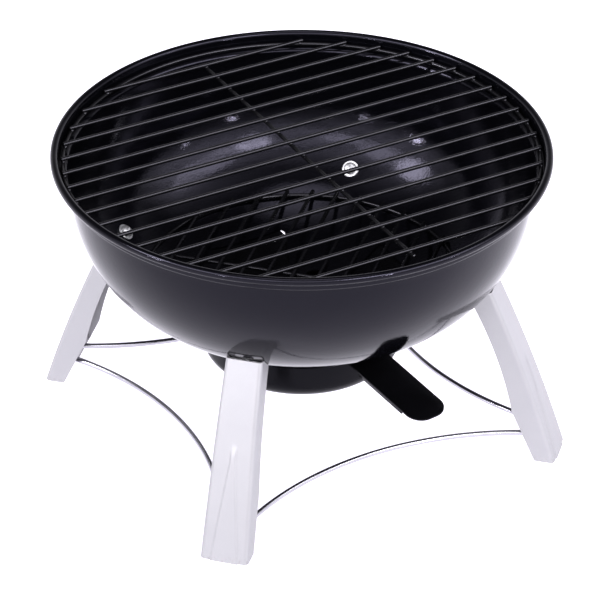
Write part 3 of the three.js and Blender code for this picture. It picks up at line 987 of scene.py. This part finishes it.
def make_camera():
    """A long lens that looks at the bowl's middle from above the front."""
    turn = math.radians(VIEW_AZIMUTH)
    lift = math.radians(VIEW_ELEVATION)
    right = Vector((math.cos(turn), math.sin(turn), 0))
    back = Vector((math.sin(turn) * math.cos(lift), -math.cos(turn) * math.cos(lift), math.sin(lift)))
    up = back.cross(right)
    target = right * VIEW_SIDE + Vector((0, 0, VIEW_HEIGHT))
    data = bpy.data.cameras.new("camera")
    data.sensor_width = SENSOR
    data.lens = LENS
    camera = bpy.data.objects.new("camera", data)
    bpy.context.scene.collection.objects.link(camera)
    basis = Matrix((right, up, back)).transposed().to_4x4()
    place = Matrix.Translation(target + back * VIEW_DISTANCE)
    camera.matrix_world = place @ basis @ Matrix.Rotation(math.radians(VIEW_ROLL), 4, "Z")
    bpy.context.scene.camera = camera


def make_floor():
    """A pale floor lit from within, so that it stays white in the picture and in reflections."""
    n = Nodes("pale_floor", Roughness=0.7)
    n.shader.inputs["Emission Color"].default_value = FLOOR_GLOW_COLOR
    tone = n.mix(n.noise(3.0, 2.0), (0.50, 0.50, 0.52, 1), (0.54, 0.54, 0.55, 1))
    across = n.add("ShaderNodeSeparateXYZ", {0: n.place}).outputs
    depth = n.math("ADD", across[0], across[1])
    glow = n.scaled(depth, *FLOOR_GLOW, *FLOOR_GLOW_SPAN)
    half = FLOOR_HALF
    corners = [(-half, -half, 0), (half, -half, 0), (half, half, 0), (-half, half, 0)]
    floor = bpy.data.objects.new("floor", mesh_from("floor", (corners, [[0, 1, 2, 3]])))
    floor.location.z = FLOOR_LEVEL
    floor.data.materials.append(n.feed(Base_Color=tone, Emission_Strength=glow))
    bpy.context.scene.collection.objects.link(floor)


def panel(azimuth, elevation, width, height, radiance):
    """A studio panel given by where it stands as seen from the grill, in degrees."""
    turn = math.radians(azimuth)
    lift = math.radians(elevation)
    toward = Vector((math.cos(turn) * math.cos(lift), math.sin(turn) * math.cos(lift), math.sin(lift)))
    data = bpy.data.lights.new("panel", "AREA")
    data.shape = "ELLIPSE"
    data.size = 2 * LIGHT_DISTANCE * math.tan(math.radians(width / 2))
    data.size_y = 2 * LIGHT_DISTANCE * math.tan(math.radians(height / 2))
    data.energy = radiance * math.pi * (math.pi / 4) * data.size * data.size_y
    data.color = LIGHT_COLOR
    light = bpy.data.objects.new("panel", data)
    light.location = Vector((0, 0, LIGHT_CENTRE)) + toward * LIGHT_DISTANCE
    light.rotation_euler = toward.to_track_quat("Z", "Y").to_euler()
    bpy.context.scene.collection.objects.link(light)


def sky_profile(tree, height, stops):
    """A brightness that changes with the height of the direction looked in, white at the zenith."""
    ramp = tree.nodes.new("ShaderNodeValToRGB")
    tree.links.new(height, ramp.inputs[0])
    lowest = stops[0][1]
    ramp.color_ramp.elements[0].color = (lowest, lowest, lowest, 1)
    for place, tone in stops:
        ramp.color_ramp.elements.new(place).color = (tone, tone, tone, 1)
    return ramp.outputs[0]


def make_world():
    """A studio with a bright horizon, a dark ceiling and a wide soft band on one side."""
    world = bpy.data.worlds.new("studio")
    world.use_nodes = True
    tree = world.node_tree
    direction = tree.nodes.new("ShaderNodeTexCoord").outputs["Generated"]
    split = tree.nodes.new("ShaderNodeSeparateXYZ")
    tree.links.new(direction, split.inputs[0])
    facing = tree.nodes.new("ShaderNodeVectorMath")
    facing.operation = "DOT_PRODUCT"
    tree.links.new(direction, facing.inputs[0])
    turn = math.radians(BAND_AZIMUTH)
    facing.inputs[1].default_value = (math.cos(turn), math.sin(turn), 0)
    edge = tree.nodes.new("ShaderNodeMapRange")
    edge.interpolation_type = "SMOOTHSTEP"
    tree.links.new(facing.outputs["Value"], edge.inputs[0])
    edge.inputs[1].default_value = -BAND_EDGE
    edge.inputs[2].default_value = BAND_EDGE
    edge.inputs[4].default_value = BAND_STRENGTH
    total = tree.nodes.new("ShaderNodeMath")
    total.operation = "MULTIPLY_ADD"
    tree.links.new(sky_profile(tree, split.outputs[2], BAND_TONES), total.inputs[0])
    tree.links.new(edge.outputs[0], total.inputs[1])
    tree.links.new(sky_profile(tree, split.outputs[2], HORIZON_TONES), total.inputs[2])
    sky = tree.nodes["Background"]
    sky.inputs["Color"].default_value = (*LIGHT_COLOR, 1)
    tree.links.new(total.outputs[0], sky.inputs["Strength"])
    bpy.context.scene.world = world


def make_light():
    make_world()
    for values in PANELS:
        panel(*values)
    bpy.context.scene.view_settings.view_transform = "Standard"


make_camera()
make_bowl()
make_grates()
make_legs()
make_braces()
make_leg_fasteners()
make_damper()
make_pan()
make_floor()
make_light()
